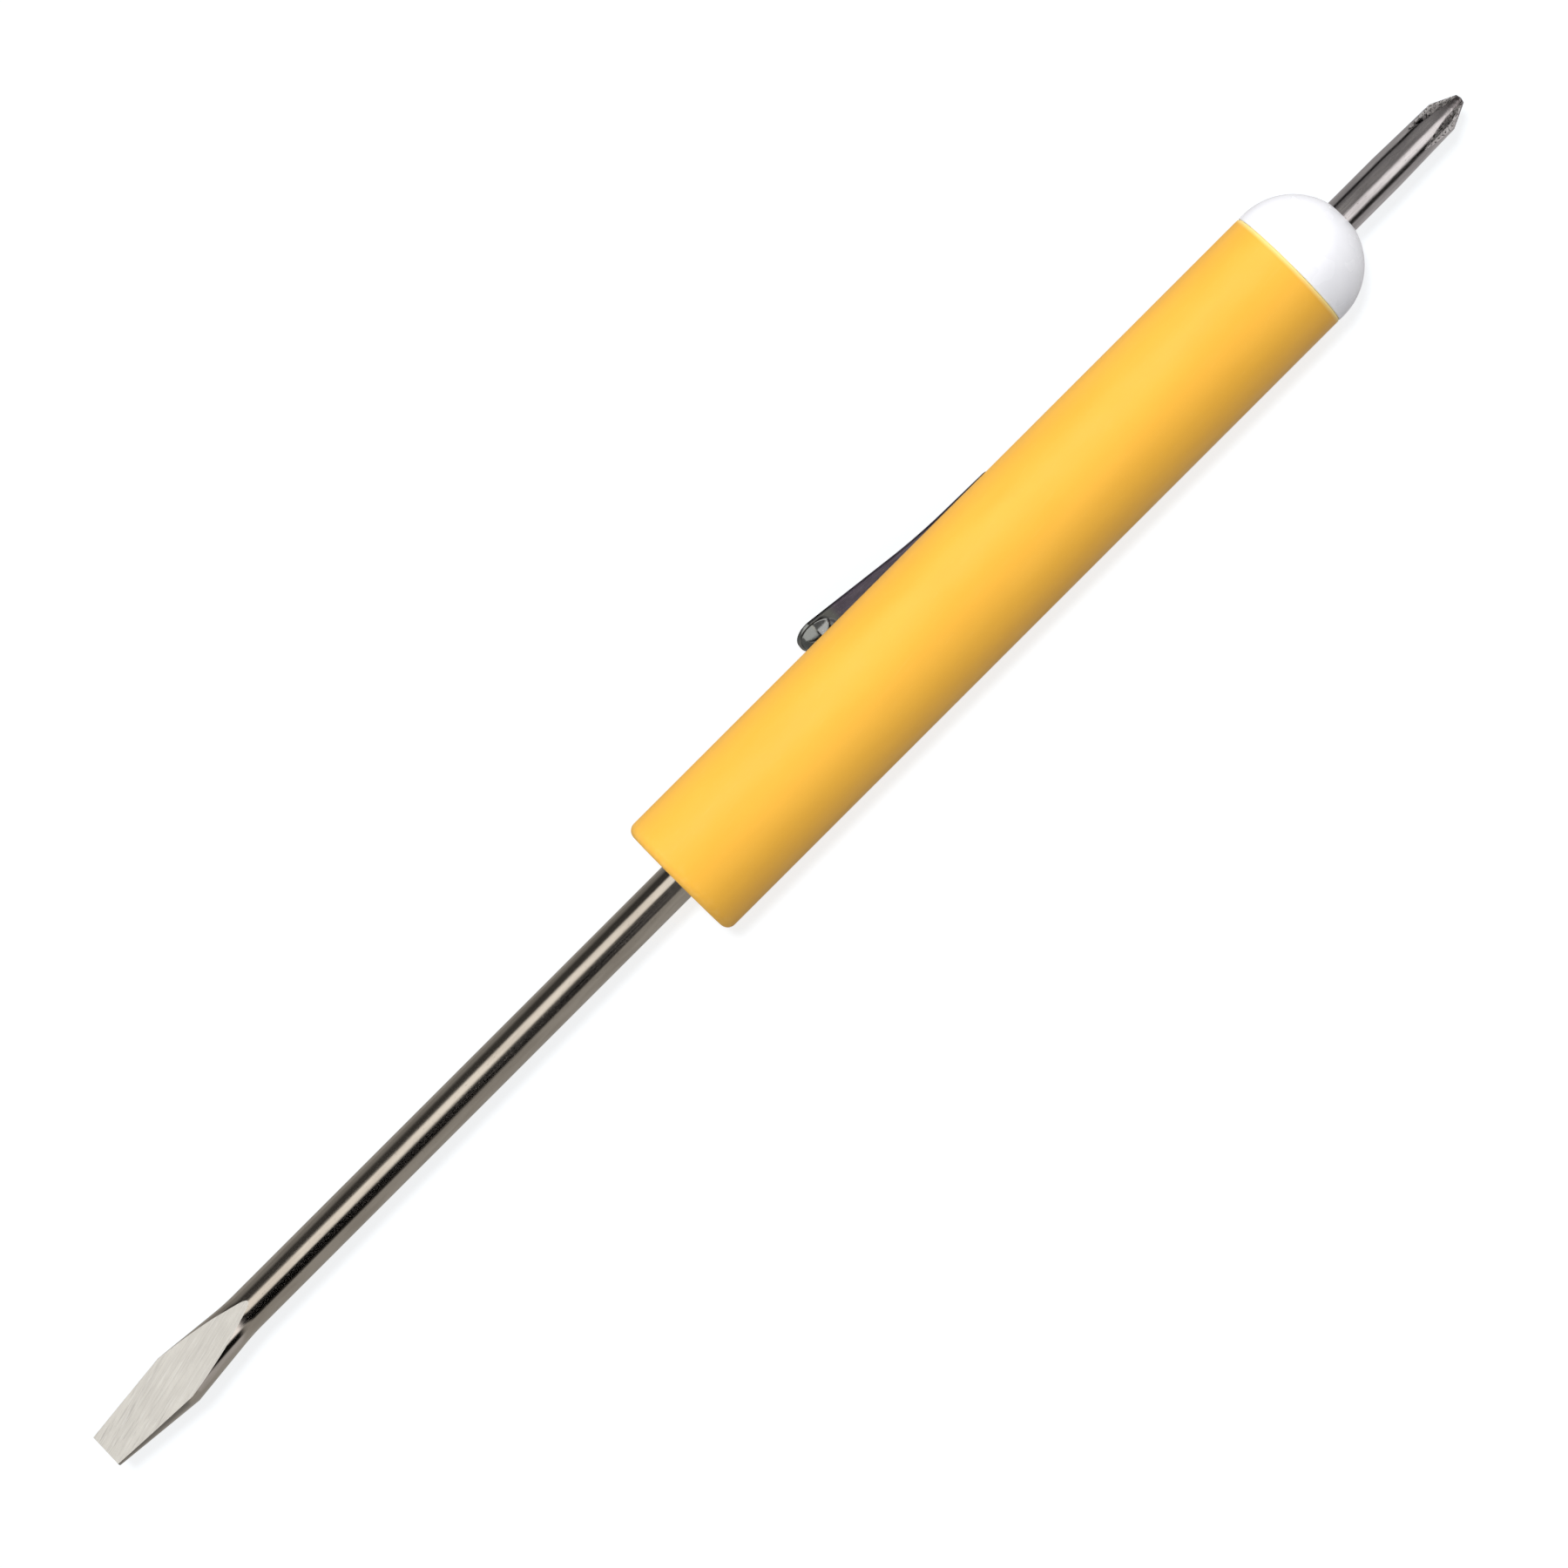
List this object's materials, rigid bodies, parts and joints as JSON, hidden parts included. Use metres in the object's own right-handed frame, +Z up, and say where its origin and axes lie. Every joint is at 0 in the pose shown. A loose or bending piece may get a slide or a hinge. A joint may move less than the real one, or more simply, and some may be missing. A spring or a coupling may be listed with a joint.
{
  "type": "pocket screwdriver",
  "caption": "Round-barrelled pocket screwdriver with a ground flat blade at one end, a small cross bit in a domed cap at the other end, and a sprung pocket clip.",
  "frame": {"origin": "middle of the flat blade's end face, on the tool's axis", "axes": "+X along the tool's axis, from the flat blade towards the cross bit; +Z up as it lies on a table, resting on the barrel, with the clip turned to +Y and down"},
  "size_m": [0.1448, 0.0123, 0.0108],
  "materials": {
    "barrel_plastic": "satin moulded plastic, warm yellow",
    "cap_plastic": "glossy moulded plastic, white",
    "blade_steel": "bright plated shank with bare ground flats",
    "bit_steel": "bright plated, with a rough cast look in the flutes",
    "clip_steel": "bright plated spring strip"
  },
  "bodies": {
    "handle": {"handle_barrel": "barrel_plastic", "flat_blade": "blade_steel", "end_cap": "cap_plastic", "cross_bit": "bit_steel"},
    "clip": {"pocket_clip": "clip_steel"}
  },
  "joints": [
    {"name": "clip_flex", "type": "hinge", "parent": "handle", "child": "clip", "pos_m": [0.0992, 0.00433, -0.00281], "axis": [0, -0.5446, -0.8387], "range_deg": [0, 6], "stiffness_Nm_per_rad": 0.7}
  ]
}
